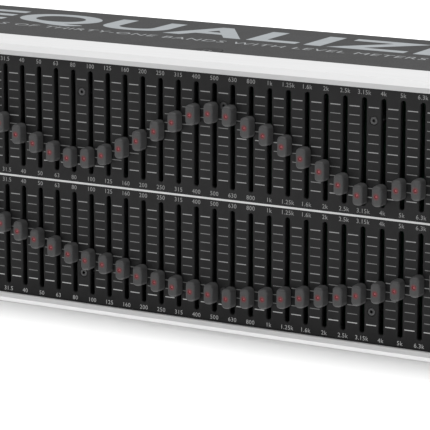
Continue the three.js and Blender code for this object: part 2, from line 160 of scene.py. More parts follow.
# ---- Materials ----
class Paint:
    """A material's node tree, with its coordinates in millimetres."""

    def __init__(self, name):
        self.material = bpy.data.materials.new(name)
        self.material.use_nodes = True
        self.tree = self.material.node_tree
        self.shader = self.tree.nodes["Principled BSDF"]
        self.coordinates = self.add("ShaderNodeTexCoord").outputs["Object"]

    def add(self, kind, **settings):
        node = self.tree.nodes.new(kind)
        for key, value in settings.items():
            setattr(node, key, value)
        return node

    def link(self, output, target):
        self.tree.links.new(output, self.shader.inputs[target] if isinstance(target, str) else target)

    def noise(self, size, detail=2.0, stretch=(1, 1, 1)):
        """Noise whose features are about size millimetres across, and longer where stretch is under 1."""
        mapping = self.add("ShaderNodeMapping")
        mapping.inputs["Scale"].default_value = [s / MM for s in stretch]
        noise = self.add("ShaderNodeTexNoise")
        noise.inputs["Scale"].default_value = 1 / size
        noise.inputs["Detail"].default_value = detail
        self.link(self.coordinates, mapping.inputs["Vector"])
        self.link(mapping.outputs["Vector"], noise.inputs["Vector"])
        return noise.outputs["Fac"]

    def ranged(self, value, low, high, start=0.3, end=0.7):
        node = self.add("ShaderNodeMapRange")
        for socket, number in (("From Min", start), ("From Max", end), ("To Min", low), ("To Max", high)):
            node.inputs[socket].default_value = number
        self.link(value, node.inputs["Value"])
        return node.outputs["Result"]

    def mixed(self, factor, first, second):
        node = self.add("ShaderNodeMix", data_type="RGBA")
        node.inputs["A"].default_value = (*first, 1)
        node.inputs["B"].default_value = (*second, 1)
        self.link(factor, node.inputs["Factor"])
        return node.outputs["Result"]

    def bump(self, height, distance):
        node = self.add("ShaderNodeBump")
        node.inputs["Distance"].default_value = distance * MM
        self.link(height, node.inputs["Height"])
        self.link(node.outputs["Normal"], "Normal")

    def set(self, **sockets):
        for socket, value in sockets.items():
            self.shader.inputs[socket.replace("_", " ")].default_value = value

    def finish(self, roughness, metallic, specular, grain, stretch, spread):
        """An uneven roughness and a fine grain, given as the size and depth of its bumps."""
        texture = self.noise(grain[0], 2.0, stretch)
        self.link(self.ranged(texture, roughness - spread, roughness + spread), "Roughness")
        self.bump(texture, grain[1])
        self.set(Metallic=metallic, Specular_IOR_Level=specular)


def surface(name, colour, roughness, metallic=0.0, specular=0.5, mottle=(6.0, 0.08), grain=(0.5, 0.01),
            stretch=(1, 1, 1), spread=0.06):
    """A surface with a mottled colour: mottle is the size of its patches and how far their colour strays."""
    paint = Paint(name)
    size, stray = mottle
    patches = paint.ranged(paint.noise(size, 3.0, stretch), 0, 1)
    darker = [c * (1 - stray) for c in colour]
    lighter = [min(1, c * (1 + stray)) for c in colour]
    paint.link(paint.mixed(patches, darker, lighter), "Base Color")
    paint.finish(roughness, metallic, specular, grain, stretch, spread)
    return paint


def lamp(name, colour, strength, body=0.5):
    """A lit lens with a little gloss: its own colour is body times the colour of its light."""
    paint = surface(name, [c * body for c in colour], 0.25, grain=(0.4, 0.002))
    paint.set(Emission_Color=(*colour, 1), Emission_Strength=strength)
    return paint.material


def cap_plastic():
    """Soft-touch dark grey plastic, with painted shade round the lamp in its front and a faint painted glow
    of the lamp's red light there.
    """
    plain, shaded, painted_lamp_light = (0.041, 0.041, 0.0415), (0.017, 0.017, 0.017), (0.8, 0.04, 0.06, 1)
    paint = Paint("cap_plastic")
    paint.finish(0.55, 0.0, 0.3, (0.35, 0.012), (1, 1, 1), 0.06)
    across = paint.add("ShaderNodeVectorMath", operation="MULTIPLY")
    across.inputs[1].default_value = (1, 0, 1)
    reach = paint.add("ShaderNodeVectorMath", operation="LENGTH")
    paint.link(paint.coordinates, across.inputs[0])
    paint.link(across.outputs["Vector"], reach.inputs[0])
    # Painted light: the plastic within about 2 mm of the lamp glows red, as if lit by the lamp.
    paint.link(paint.ranged(reach.outputs["Value"], 0.17, 0, 0.4 * MM, 2.0 * MM), "Emission Strength")
    # Painted shade: the front is darker round the lamp's recess.
    near = paint.ranged(reach.outputs["Value"], 0, 1, 0.6 * MM, 2.1 * MM)
    paint.link(paint.mixed(near, shaded, plain), "Base Color")
    paint.set(Emission_Color=painted_lamp_light)
    return paint.material


def silver(name, colour):
    """Brushed aluminium, with its grain along the panel."""
    return surface(name, colour, 0.45, 0.15, 0.05, mottle=(3.0, 0.02), grain=(0.6, 0.003),
                   stretch=(0.04, 1, 1)).material


def ink(name, colour, stray):
    return surface(name, colour, 0.6, specular=0.2, mottle=(0.8, stray), grain=(0.2, 0.002)).material


def cover_ink(name, colour):
    return surface(name, colour, 0.6, specular=0.1, mottle=(8.0, 0.03), grain=(0.9, 0.01)).material


SILVER = silver("silver_satin", (0.515, 0.515, 0.517))
# A darker copy of the same silver: painted shade for the lip above the window.
SHADED_SILVER = silver("silver_painted_shade", (0.42, 0.42, 0.422))
COVER_PAINT = surface("cover_paint", (0.036, 0.036, 0.0364), 0.65, specular=0.1, mottle=(9.0, 0.06),
                      grain=(0.9, 0.02)).material
CASE_PAINT = surface("case_paint", (0.04, 0.04, 0.041), 0.55, specular=0.3, mottle=(9.0, 0.06),
                     grain=(0.9, 0.02)).material
FASCIA_PAINT = surface("fascia_paint", (0.0092, 0.0092, 0.0094), 0.5, specular=0.17, mottle=(5.0, 0.1),
                       grain=(0.5, 0.01)).material
CAP_PLASTIC = cap_plastic()
KNOB_PLASTIC = surface("knob_plastic", (0.03, 0.03, 0.031), 0.42, grain=(0.3, 0.01)).material
# A brighter copy of the print's ink: painted light for the print near the bottom of the fascia.
PAINTED_LIGHT_INK = ink("ink_with_painted_light", (0.4, 0.4, 0.4), 0.06)
WHITE_INK = ink("white_ink", (0.235, 0.235, 0.235), 0.06)
GREY_INK = ink("grey_ink", (0.155, 0.155, 0.155), 0.08)
LABEL_INK = ink("label_ink", (0.215, 0.215, 0.215), 0.08)
LINE_INK = surface("line_ink", (0.5, 0.5, 0.5), 0.5, specular=0.2, mottle=(3.0, 0.03),
                   grain=(0.6, 0.003)).material
COVER_INK = cover_ink("cover_ink", (0.24, 0.255, 0.265))
COVER_INK_DIM = cover_ink("cover_ink_dim", (0.22, 0.228, 0.232))
DARK_STEEL = surface("dark_steel", (0.07, 0.07, 0.072), 0.38, 0.6, mottle=(1.5, 0.15),
                     grain=(0.3, 0.006)).material
BLACK_STEEL = surface("blackened_steel", (0.054, 0.054, 0.055), 0.42, 0.6, mottle=(1.5, 0.15),
                      grain=(0.3, 0.006)).material
BRIGHT_STEEL = surface("bright_steel", (0.6, 0.6, 0.61), 0.3, 0.95, mottle=(2.0, 0.08),
                       grain=(0.4, 0.004)).material
BLACK_MOULDING = surface("black_moulding", (0.02, 0.02, 0.02), 0.42, grain=(0.35, 0.01)).material
SMOKED_LENS = surface("smoked_lens", (0.01, 0.009, 0.009), 0.12, mottle=(9.0, 0.1), grain=(4.0, 0.002),
                      spread=0.03).material
SOLDER_MASK = surface("solder_mask", (0.007, 0.042, 0.018), 0.4, specular=0.3, mottle=(4.0, 0.15),
                      grain=(0.8, 0.01)).material
COPPER = surface("copper_wire", (0.55, 0.24, 0.11), 0.35, 0.9, mottle=(1.0, 0.12), grain=(0.5, 0.05)).material
CORE_STEEL = surface("core_laminations", (0.16, 0.16, 0.165), 0.5, 0.6, mottle=(3.0, 0.2),
                     grain=(0.5, 0.06), stretch=(0.05, 1, 0.05)).material
BLUE_SLEEVE = surface("capacitor_sleeve", (0.02, 0.03, 0.09), 0.3, mottle=(5.0, 0.06),
                      grain=(1.0, 0.006)).material
AMBER_FILM = surface("bobbin_film", (0.55, 0.35, 0.06), 0.3, mottle=(5.0, 0.1), grain=(1.0, 0.01)).material
RED_LAMP = lamp("red_lamp", (0.8, 0.19, 0.22), 0.1, 0.22)
GREEN_LAMP = lamp("green_lamp", (0.06, 0.7, 0.16), 0.6)
AMBER_LAMP = lamp("amber_lamp", (0.9, 0.4, 0.04), 0.6)
DEAD_LAMP = surface("unlit_lamp", (0.035, 0.035, 0.03), 0.3, mottle=(0.6, 0.1), grain=(0.4, 0.003)).material


# ---- Outlines, in X and Z ----
def circle(radius, x=0, z=0, points=24, turn=0.0):
    steps = [turn + math.tau * i / points for i in range(points)]
    return [(x + radius * math.cos(a), z + radius * math.sin(a)) for a in steps]


def hexagon(radius, points=24):
    """A hexagon that measures radius to its corners, with as many points as the circle that it joins."""
    outline = []
    for i in range(points):
        a = math.tau * i / points
        reach = radius * math.cos(math.pi / 6) / math.cos(a % (math.pi / 3) - math.pi / 6)
        outline.append((reach * math.cos(a), reach * math.sin(a)))
    return outline


def rounded(width, height, corner, x=0, z=0, steps=4):
    """A rectangle with arcs for corners."""
    across, up = width / 2 - corner, height / 2 - corner
    points = []
    for quarter, (sx, sz) in enumerate(((1, 1), (-1, 1), (-1, -1), (1, -1))):
        for i in range(steps + 1):
            a = math.pi / 2 * (quarter + i / steps)
            points.append((x + sx * across + corner * math.cos(a), z + sz * up + corner * math.sin(a)))
    return points


def panel(width, height, corner, x=0, z=0, steps=4):
    """A rounded rectangle as a function of how far it grows on each side."""
    def outline(growth=0):
        return rounded(width + 2 * growth, height + 2 * growth, max(corner + growth, 0.02), x, z, steps)

    return outline


def disc(radius, x=0, z=0, points=24):
    return lambda growth=0: circle(radius + growth, x, z, points)


def at(outline, y):
    """An outline as a ring of points at a depth."""
    return [Vector((x, y, z)) for x, z in outline]


def facing(direction, x=0, y=0, z=0):
    """Where a shape goes that is drawn with its face towards -Y and its origin at 0."""
    angle, axis = {"front": (0, "Z"), "back": (180, "Z"), "up": (-90, "X"), "right": (90, "Z"),
                   "left": (-90, "Z")}[direction]
    return Matrix.Translation((x, y, z)) @ Matrix.Rotation(math.radians(angle), 4, axis)


# ---- Solids ----
class Solid:
    """Closed shells in millimetres, which become one piece."""

    def __init__(self):
        self.mesh = bmesh.new()

    def faces(self, corners, material):
        for ring in corners:
            self.mesh.faces.new(ring).material_index = material

    def walls(self, near, far, material):
        following = near[1:] + near[:1], far[1:] + far[:1]
        self.faces(zip(near, following[0], following[1], far), material)

    def loft(self, rings, material=0, place=Matrix()):
        """Joins rings of as many points each, and closes both ends."""
        rows = [[self.mesh.verts.new(place @ p) for p in ring] for ring in rings]
        self.faces((rows[0], rows[-1]), material)
        for near, far in zip(rows, rows[1:]):
            self.walls(near, far, material)

    def block(self, low, high, material=0, place=Matrix()):
        (x0, y0, z0), (x1, y1, z1) = low, high
        outline = [(x0, z0), (x1, z0), (x1, z1), (x0, z1)]
        self.loft([at(outline, y0), at(outline, y1)], material, place)

    def turned(self, profile, material=0, points=32, place=Matrix()):
        """A turned shape about the Y axis: profile is [radius, y] from one end to the other."""
        self.loft([at(circle(radius, points=points), y) for radius, y in profile], material, place)

    def stud(self, shape, front, back, fillet=0.4, material=0, place=Matrix(), steps=3):
        """A prism along Y with its front edge rounded off."""
        rings = [at(shape(), back)]
        for step in range(steps + 1):
            a = math.pi / 2 * step / steps
            rings.append(at(shape(-fillet * (1 - math.cos(a))), front + fillet * (1 - math.sin(a))))
        self.loft(rings, material, place)

    def plate(self, shapes, front, back, edge=0.15, material=0, place=Matrix(), steps=1):
        """A plate with rounded front edges between two depths: shapes is its outline and then its holes."""
        turns = [math.pi / 2 * step / steps for step in range(steps + 1)]
        layers = [(front + edge * (1 - math.cos(a)), edge * (1 - math.sin(a))) for a in turns]
        rows = []
        for y, growth in layers + [(back, 0)]:
            loops = [shape(-growth if i == 0 else growth) for i, shape in enumerate(shapes)]
            rows.append([[self.mesh.verts.new(place @ p) for p in at(loop, y)] for loop in loops])
        for near, far in zip(rows, rows[1:]):
            for near_loop, far_loop in zip(near, far):
                self.walls(near_loop, far_loop, material)
        for row in (rows[0], rows[-1]):
            corners = [corner for loop in row for corner in loop]
            triangles = tessellate_polygon([[v.co for v in loop] for loop in row])
            self.faces(([corners[i] for i in triangle] for triangle in triangles), material)

    def data(self, name, materials, smooth=35):
        """The mesh in metres, with its faces outwards and edges sharper than smooth degrees kept."""
        bmesh.ops.recalc_face_normals(self.mesh, faces=self.mesh.faces)
        bmesh.ops.scale(self.mesh, vec=(MM,) * 3, verts=self.mesh.verts)
        data = bpy.data.meshes.new(name)
        self.mesh.to_mesh(data)
        self.mesh.free()
        for material in materials:
            data.materials.append(material)
        data.shade_smooth()
        data.set_sharp_from_angle(angle=math.radians(smooth))
        return data

    def piece(self, name, materials, slot, replaces=(), body="case", smooth=35, place=Matrix()):
        return add_piece(name, self.data(name, materials, smooth), replaces, body, place)


def add_piece(name, data, replaces=(), body="case", place=Matrix()):
    """Shows a mesh at a place in millimetres. It rides on a body and stands for the CAD nodes it replaces."""
    piece = bpy.data.objects.new(name, data)
    piece.location = place.translation * MM + Vector((0, FACE, 0))
    piece.rotation_euler = place.to_euler()
    bpy.context.scene.collection.objects.link(piece)
    piece.modifiers.new("flat_faces_stay_flat", "WEIGHTED_NORMAL").keep_sharp = True
    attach(piece, body)
    if replaces:
        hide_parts(*replaces)
    return piece


def edged_copy(node, radius=0.3, segments=2):
    """The CAD node's own shape as a new piece with its sharp edges rounded off."""
    solid = Solid()
    solid.mesh.from_mesh(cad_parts[node].data)
    verts = solid.mesh.verts
    bmesh.ops.translate(solid.mesh, vec=(0, -FACE, 0), verts=verts)
    bmesh.ops.scale(solid.mesh, vec=(1 / MM,) * 3, verts=verts)
    bmesh.ops.remove_doubles(solid.mesh, verts=verts, dist=1e-3)
    bmesh.ops.dissolve_limit(solid.mesh, angle_limit=math.radians(0.5), verts=verts, edges=solid.mesh.edges)
    sharp = [e for e in solid.mesh.edges if len(e.link_faces) == 2 and e.calc_face_angle() > math.radians(25)]
    bmesh.ops.bevel(solid.mesh, geom=sharp, offset=radius, segments=segments, profile=0.5, affect="EDGES",
                    clamp_overlap=True)
    return solid


# ---- Lettering ----
UPRIGHT = Matrix.Rotation(math.radians(90), 4, "X")


def print_text(solid, text, height, place, width=1.0, spacing=1.0, material=0, weight=0.0):
    """Adds raised print to a solid, centred on the place and facing along its +Z.

    The weight is how far a heavy letter's outline swells, as a bevel that is then pressed almost flat.
    """
    curve = bpy.data.curves.new("letters", "FONT")
    curve.body = text
    curve.size = height / 0.7
    curve.align_x = "CENTER"
    curve.align_y = "CENTER"
    curve.space_character = spacing
    curve.resolution_u = 8 if weight else 3
    curve.bevel_resolution = 0
    curve.bevel_depth = weight
    curve.extrude = weight or INK
    thickness = INK / curve.extrude
    holder = bpy.data.objects.new("letters", curve)
    bpy.context.scene.collection.objects.link(holder)
    bpy.context.view_layer.update()
    data = bpy.data.meshes.new_from_object(holder.evaluated_get(bpy.context.evaluated_depsgraph_get()))
    bpy.data.objects.remove(holder)
    bpy.data.curves.remove(curve)
    for polygon in data.polygons:
        polygon.material_index = material
    data.transform(place @ Matrix.Diagonal((width, 1, thickness, 1)))
    solid.mesh.from_mesh(data)
    bpy.data.meshes.remove(data)


def on_front(x, z):
    return Matrix.Translation((x, 0, z)) @ UPRIGHT


def line(solid, x, z, width, height, material=0):
    """A printed line on the fascia."""
    low = (x - width / 2, -INK, z - height / 2)
    high = (x + width / 2, INK, z + height / 2)
    solid.block(low, high, material)


# ---- Screws ----
def socket(face, radius, depth):
    """The rings of a hexagon socket, from its floor out to a face."""
    steps = ((radius * 0.95, depth), (radius, depth - 0.1), (radius, 0.12), (radius + 0.12, 0))
    return [at(hexagon(r), face + y) for r, y in steps]


def countersunk_screw(radius=1.9, length=8.0):
    """Its face is at 0 and its shank runs along +Y."""
    solid = Solid()
    cone = [(radius * 0.92, 0), (radius, 0.12), (radius, 0.3), (radius * 0.6, 1.0), (radius * 0.6, length)]
    solid.loft(socket(0, radius * 0.43, 1.5) + [at(circle(r), y) for r, y in cone])
    return solid.data("countersunk_screw", [BLACK_STEEL])


def pan_screw(radius=3.0, height=1.0, length=6.0):
    """The underside of its head is at 0."""
    solid = Solid()
    head = [(0.74, -1), (0.9, -0.86), (0.98, -0.5), (1, 0)]
    rings = [at(circle(radius * r), height * y) for r, y in head]
    shank = [at(circle(radius / 2), 0), at(circle(radius / 2), length)]
    solid.loft(socket(-height, radius * 0.45, height * 0.8) + rings + shank)
    return solid.data("pan_screw", [DARK_STEEL])


def screws():
    flush = countersunk_screw()
    for channel in CHANNELS:
        for i, (x, z) in enumerate(screw_points(channel)):
            place = facing("front", x, 0.1, z)
            add_piece(f"{channel}_fascia_screw_{i + 1}", flush, place=place)
    pan = pan_screw()
    lip_middle = COVER_HIGH.z - COVER_LIP / 2
    places = [facing("up", x, DIMPLE["y"], COVER_HIGH.z - DIMPLE["depth"]) for x in LUG_X]
    places += [facing("left", COVER_LOW.x, y, lip_middle) for y in COVER_SIDE_SCREWS_Y]
    places += [facing("right", COVER_HIGH.x, y, lip_middle) for y in COVER_SIDE_SCREWS_Y]
    places += [facing("back", x, COVER_HIGH.y, lip_middle) for x in COVER_REAR_SCREWS_X]
    for i, place in enumerate(places):
        add_piece(f"cover_screw_{i + 1}", pan, place=place)
    low_head = pan_screw(2.6, 0.9, 3.0)
    for i, x in enumerate(TRAY_SCREWS_X):
        add_piece(f"tray_screw_{i + 1}", low_head, place=facing("up", x, 22, 3.5))


# ---- Front frame and fascia ----
def front_frame():
    """The rails and ears. The lip above the window has a darker copy of the silver, as painted shade."""
    solid = edged_copy("front_frame", 0.3)
    half = WINDOW_WIDTH / 2
    for x in (-half, half):
        everything = list(solid.mesh.verts) + list(solid.mesh.edges) + list(solid.mesh.faces)
        bmesh.ops.bisect_plane(solid.mesh, geom=everything, plane_co=(x, 0, 0), plane_no=(1, 0, 0))
    # Painted shade: the lip's front faces above the window take the darker copy of the silver.
    for face in solid.mesh.faces:
        middle = face.calc_center_median()
        if face.normal.y < -0.9 and middle.y < 0 and abs(middle.x) < half and middle.z > PANEL_MIDDLE:
            face.material_index = 1
    solid.piece("front_frame_rails_and_ears", [SILVER, SHADED_SILVER], "silver_frame", ["front_frame"])


def fascia():
    low, high = span("fascia_panel")
    shapes = [panel(high.x - low.x, high.z - low.z, 1, 0, PANEL_MIDDLE)]
    for channel, middle in ROW_MIDDLE.items():
        for i in range(len(BANDS)):
            shapes.append(panel(SLOT["width"], SLOT["length"], SLOT["width"] / 2, band_x(i), middle))
        shapes += [disc(SCREW_HOLE, x, z) for x, z in screw_points(channel)]
        knob = centre(f"{channel}_gain_knob")
        shapes.append(disc(SPINDLE_HOLE, knob.x, knob.z))
        for what in ("eq", "detect"):
            button = centre(f"{channel}_{what}_button")
            shapes.append(panel(*KEY_HOLE.values(), button.x, button.z))
            shapes.append(disc(LAMP_HOLE, button.x, button.z + LAMP_ABOVE_BUTTON))
        low, high = span(f"{channel}_meter_window")
        shapes.append(panel(high.x - low.x + 0.6, high.z - low.z + 0.6, 0.9, (low.x + high.x) / 2, middle))
    power = centre("power_button")
    shapes.append(disc(POWER_HOLE, power.x, power.z, 40))
    shapes.append(disc(LAMP_HOLE, power.x, power.z + LAMP_ABOVE_POWER))
    solid = Solid()
    solid.plate(shapes, 0, 2, edge=0.3)
    solid.piece("fascia_plate", [FASCIA_PAINT], "black_fascia", ["fascia_panel"], smooth=20)


def scale_marks(channel):
    """The short lines between the slots, bold in the middle and at both ends, and their decibels."""
    middle = ROW_MIDDLE[channel]
    solid = Solid()
    for i in range(len(BANDS) - 1):
        x = band_x(i) + PITCH / 2
        for step in range(TICK["count"]):
            z = middle + TICK["reach"] * (1 - 2 * step / (TICK["count"] - 1)) - TICK["drop"]
            if any(abs(x - sx) < 1 and abs(z - sz) < 4 for sx, sz in screw_points(channel)):
                continue
            bold = step % (TICK["count"] // 2) == 0
            material = 0 if bold else 1
            # Painted light: the lower channel's bottom row of ticks takes the brighter copy of the ink.
            if channel == "lower" and step == TICK["count"] - 1:
                material = 2
            line(solid, x, z, TICK["length"], TICK["bold" if bold else "fine"], material)
    for x in (band_x(0) - 7.5, band_x(len(BANDS) - 1) + 7.5):
        for step, text in enumerate(("+12", "+6", "0", "-6", "-12")):
            z = middle + TICK["reach"] * (1 - step / 2)
            print_text(solid, text, NUMBER_HEIGHT, on_front(x, z), 0.9)
    solid.piece(f"{channel}_scale_marks", [WHITE_INK, GREY_INK, PAINTED_LIGHT_INK], "silver_frame")


def band_numbers(channel):
    """Each band's frequency, above and below its slot."""
    solid = Solid()
    for i, text in enumerate(BANDS):
        for side in (-1, 1):
            z = ROW_MIDDLE[channel] + side * (SLOT["length"] / 2 + NUMBER_GAP) - NUMBER_DROP
            # Painted light: the lower channel's bottom numbers take the brighter copy of the ink.
            material = 1 if channel == "lower" and side < 0 else 0
            print_text(solid, text, NUMBER_HEIGHT, on_front(band_x(i), z), 0.98, 1.08, material)
    solid.piece(f"{channel}_band_numbers", [LABEL_INK, PAINTED_LIGHT_INK], "silver_frame")


def dividing_line():
    low, high = span("fascia_panel")
    solid = Solid()
    width = high.x - low.x - 2 * DIVIDER["margin"]
    line(solid, 0, PANEL_MIDDLE - DIVIDER["drop"], width, DIVIDER["height"])
    solid.piece("dividing_line", [LINE_INK], "silver_frame")


def control_marks(channel):
    """The gain knob's dial and the words by the controls."""
    knob = centre(f"{channel}_gain_knob")
    solid = Solid()
    half_steps = DIAL["steps"] // 2
    for step in range(DIAL["steps"]):
        a = math.radians(DIAL["degrees"] * (step - half_steps))
        place = Matrix.Translation((knob.x, 0, knob.z)) @ Matrix.Rotation(a, 4, "Y")
        half = 0.3 if step % half_steps == 0 else 0.18
        solid.block((-half, -INK, DIAL["inner"]), (half, INK, DIAL["outer"]), 0, place)
    for text, x, z in (("GAIN", 0, 13.6), ("-12", -8.5, -10), ("+12", 8.5, -10)):
        print_text(solid, text, 1.9, on_front(knob.x + x, knob.z + z), 0.98)
    for what, text in (("eq", "EQ IN"), ("detect", "DETECT")):
        button = centre(f"{channel}_{what}_button")
        print_text(solid, text, 1.8, on_front(button.x, button.z - 5.2), 0.98)
    if channel == "lower":
        power = centre("power_button")
        print_text(solid, "POWER", 1.9, on_front(power.x, power.z + LAMP_ABOVE_POWER + 4), 0.98)
    solid.piece(f"{channel}_control_marks", [LABEL_INK], "silver_frame")


# ---- Faders ----
def fader_data():
    """A cap with a lamp in its front, on the thin steel lever that passes through the slot."""
    solid = Solid()
    fillet, front, back = CAP["fillet"], CAP["front"], CAP["back"]
    cap = panel(CAP["width"], CAP["height"], CAP["corner"], steps=5)
    rings = [at(cap(-0.3), back), at(cap(0), back - 0.3)]
    for step in range(6):
        a = math.pi / 2 * step / 5
        rings.append(at(cap(-0.1 - fillet * (1 - math.cos(a))), front + fillet * (1 - math.sin(a))))
    points = len(rings[0])
    recess = [(1.15, 0), (0.95, 0), (0.82, 0.2), (0.72, 0.5), (0.6, 0.55)]
    for radius, depth in recess:
        rings.append(at(circle(radius, points=points, turn=math.pi / points), front + depth))
    solid.loft(rings, 0)
    dome = [(0.59, 0.52), (0.59, 0.38), (0.48, 0.25), (0.29, 0.17), (0.1, 0.15)]
    solid.turned([(radius, front + depth) for radius, depth in dome], 1, 16)
    across, up = LEVER["width"] / 2, LEVER["height"] / 2
    solid.block((-across, back - 1, -up), (across, LEVER["back"], up), 2)
    return solid.data("fader", [CAP_PLASTIC, RED_LAMP, BRIGHT_STEEL], 40)


def faders():
    data = fader_data()
    for channel in CHANNELS:
        for i, band in enumerate(BANDS):
            place = facing("front", band_x(i), 0, cap_z(channel, i))
            name = f"{channel}_slider_{band.replace('.', '_')}"
            node = sliding_node(channel, i)
            if slides(i):
                add_piece(name, data, [node], node, place)
            else:
                add_piece(name, data, place=place)


# ---- Knobs, buttons and meters ----
def gain_knob(channel):
    node = f"{channel}_gain_knob"
    low, high = span(node)
    radius, front = (high.x - low.x) / 2, low.y
    solid = Solid()

    def fluted(size, depth, flutes=24, points=144):
        outline = []
        for i in range(points):
            a = math.tau * i / points
            reach = size - depth * (0.5 + 0.5 * math.cos(flutes * a))
            outline.append((reach * math.cos(a), reach * math.sin(a)))
        return outline

    grip = radius - 0.7
    steps = [(radius - 0.2, 0, -1), (radius, 0, -1.3), (radius, 0, -2.4), (radius - 0.5, 0, -3.0),
             (grip, 0.1, -3.2), (grip, 0.7, -4.2), (grip - 0.3, 0.7, front + 1.6),
             (grip - 0.6, 0.3, front + 0.7), (grip - 1.2, 0, front + 0.1), (grip - 1.7, 0, front),
             (grip - 2.2, 0, front + 0.15), (grip - 3.4, 0, front + 0.35)]
    solid.loft([at(fluted(size, depth), y) for size, depth, y in steps], 0)
    solid.block((-0.5, front - 0.05, 1.5), (0.5, front + 1.2, grip - 1.3), 1)
    solid.turned([(3, -1.5), (3, 4)], 2, 24)
    place = facing("front", (low.x + high.x) / 2, 0, (low.z + high.z) / 2)
    materials = [KNOB_PLASTIC, WHITE_INK, BRIGHT_STEEL]
    solid.piece(f"{channel}_gain_knob_fluted", materials, "dark_knob", [node], node, place=place)


def push_button(channel, what, material):
    """A key with a shallow dish in its face, and the lamp above it in the fascia."""
    node = f"{channel}_{what}_button"
    low, high = span(node)
    x, z = (low.x + high.x) / 2, (low.z + high.z) / 2
    key = panel(8.4, 5.4, 0.9)
    solid = Solid()
    rings = [at(key(), 2.5), at(key(), low.y + 0.5)]
    dish = [(0.1, 0.2), (0.3, 0.05), (0.55, 0), (0.9, 0.1), (1.6, 0.25)]
    rings += [at(key(-inset), low.y + y) for inset, y in dish]
    solid.loft(rings, 0)
    solid.block((-5.2, 2.4, -3.7), (5.2, 3.4, 3.7), 0)
    place = facing("front", x, 0, z)
    solid.piece(f"{channel}_{what}_key", [KNOB_PLASTIC], "dark_knob", [node], node, place=place)
    panel_lamp(f"{channel}_{what}_lamp", x, z + LAMP_ABOVE_BUTTON, material)


def panel_lamp(name, x, z, material):
    solid = Solid()
    radius = LAMP_HOLE - 0.15
    dome = [(radius, 6), (radius, 0), (radius * 0.85, -0.5), (radius * 0.5, -0.8), (radius * 0.15, -0.9)]
    solid.turned(dome, 0, 20)
    solid.piece(name, [material], "dark_lens", place=facing("front", x, 0, z))


def power_button():
    low, high = span("power_button")
    x, z = (low.x + high.x) / 2, (low.z + high.z) / 2
    solid = Solid()
    profile = [(7, 3.4), (7, 2.4), (5.5, 2.4), (5.5, low.y + 0.7), (5.3, low.y + 0.2), (4.9, low.y),
               (4.3, low.y + 0.05), (3.2, low.y + 0.3), (1, low.y + 0.45)]
    solid.turned(profile, 0, 48)
    solid.piece("power_key", [KNOB_PLASTIC], "dark_knob", ["power_button"], "power_button",
                place=facing("front", x, 0, z))
    panel_lamp("power_lamp", x, z + LAMP_ABOVE_POWER, GREEN_LAMP)


def meter(channel):
    """A smoked window with a ladder of lamps: the lower ones are lit."""
    node = f"{channel}_meter_window"
    low, high = span(node)
    width, height = high.x - low.x, high.z - low.z
    x, z = (low.x + high.x) / 2, (low.z + high.z) / 2
    solid = Solid()
    frame_shapes = [panel(width, height, 0.8, x, z), panel(width - 1.6, height - 1.6, 0.5, x, z)]
    solid.plate(frame_shapes, low.y, 2, 0.12, 0)
    solid.stud(panel(width - 1.8, height - 1.8, 0.5, x, z), low.y + 0.15, 1.9, 0.1, 1)
    across, up = METER["half_width"], METER["half_height"]
    for i in range(METER["lamps"]):
        level = z + (i - (METER["lamps"] - 1) / 2) * METER["pitch"]
        material = 2 if i < METER["lit"] else 3
        solid.block((x - across, low.y + 0.12, level - up), (x + across, 0.6, level + up), material)
    solid.piece(f"{channel}_meter", [BLACK_MOULDING, SMOKED_LENS, GREEN_LAMP, DEAD_LAMP], "dark_lens", [node])


# ---- Channel boards, behind the fascia ----
def slide_pot(solid, x, z):
    """A folded steel can with a groove for the lever, closed at both ends, on four soldered pins."""
    half, groove, face, length = POT["half_width"], POT["groove"], POT["front"], POT["half_length"]
    front, thick = PANEL_BOARD["front"], PANEL_BOARD["thick"]
    inside = half - 0.5
    can = [(-half, face), (-groove, face), (-groove, face + 0.5), (-inside, face + 0.5), (-inside, 14),
           (inside, 14), (inside, face + 0.5), (groove, face + 0.5), (groove, face), (half, face),
           (half, front - 0.1), (-half, front - 0.1)]
    solid.loft([[Vector((x + px, py, z + end)) for px, py in can] for end in (-length, length)], 1)
    for end in (-1, 1):
        cap = z + end * (length - 0.6)
        solid.block((x - inside, face + 0.1, cap - 0.5), (x + inside, 14.1, cap + 0.5), 1)
        for pin in (-1.2, 1.2):
            row = z + end * (length - 2)
            solid.block((x + pin - 0.25, front - 0.2, row - 0.25),
                        (x + pin + 0.25, front + thick + 0.4, row + 0.25), 2)


def channel_board(channel):
    node = f"{channel}_channel_board"
    middle = ROW_MIDDLE[channel]
    front, thick = PANEL_BOARD["front"], PANEL_BOARD["thick"]
    solid = Solid()
    holes = [disc(1.3, x, z, 12) for x, z in screw_points(channel)]
    board = panel(PANEL_BOARD["width"], PANEL_BOARD["height"], 2, 0, middle)
    solid.plate([board] + holes, front, front + thick, 0.1, 0)
    for i in range(len(BANDS)):
        slide_pot(solid, band_x(i), middle)
    knob = centre(f"{channel}_gain_knob")
    solid.stud(panel(16, 16, 1.2, knob.x, knob.z), 4.5, front, 0.6, 3)
    solid.turned([(4.4, 2.6), (4.4, 4.6)], 2, 24, facing("front", knob.x, 0, knob.z))
    for what in ("eq", "detect"):
        button = centre(f"{channel}_{what}_button")
        solid.stud(panel(8, 8, 0.5, button.x, button.z), 5.6, front, 0.3, 3)
    window = centre(f"{channel}_meter_window")
    solid.stud(panel(12.6, 45.6, 0.5, window.x, middle), 4, front, 0.3, 3)
    if channel == "lower":
        power = centre("power_button")
        solid.stud(panel(14, 14, 0.8, power.x, power.z), 7, front, 0.4, 3)
    solid.piece(f"{channel}_slide_pots_and_board", [SOLDER_MASK, DARK_STEEL, BRIGHT_STEEL, BLACK_MOULDING],
                "green_board", [node])
    pillar = Solid()
    for x, z in screw_points(channel):
        corners = [(x + px, z + pz) for px, pz in hexagon(2.5)]
        pillar.loft([at(corners, y) for y in (2.05, front - 0.05)])
    pillar.piece(f"{channel}_board_pillars", [DARK_STEEL], "dark_steel")


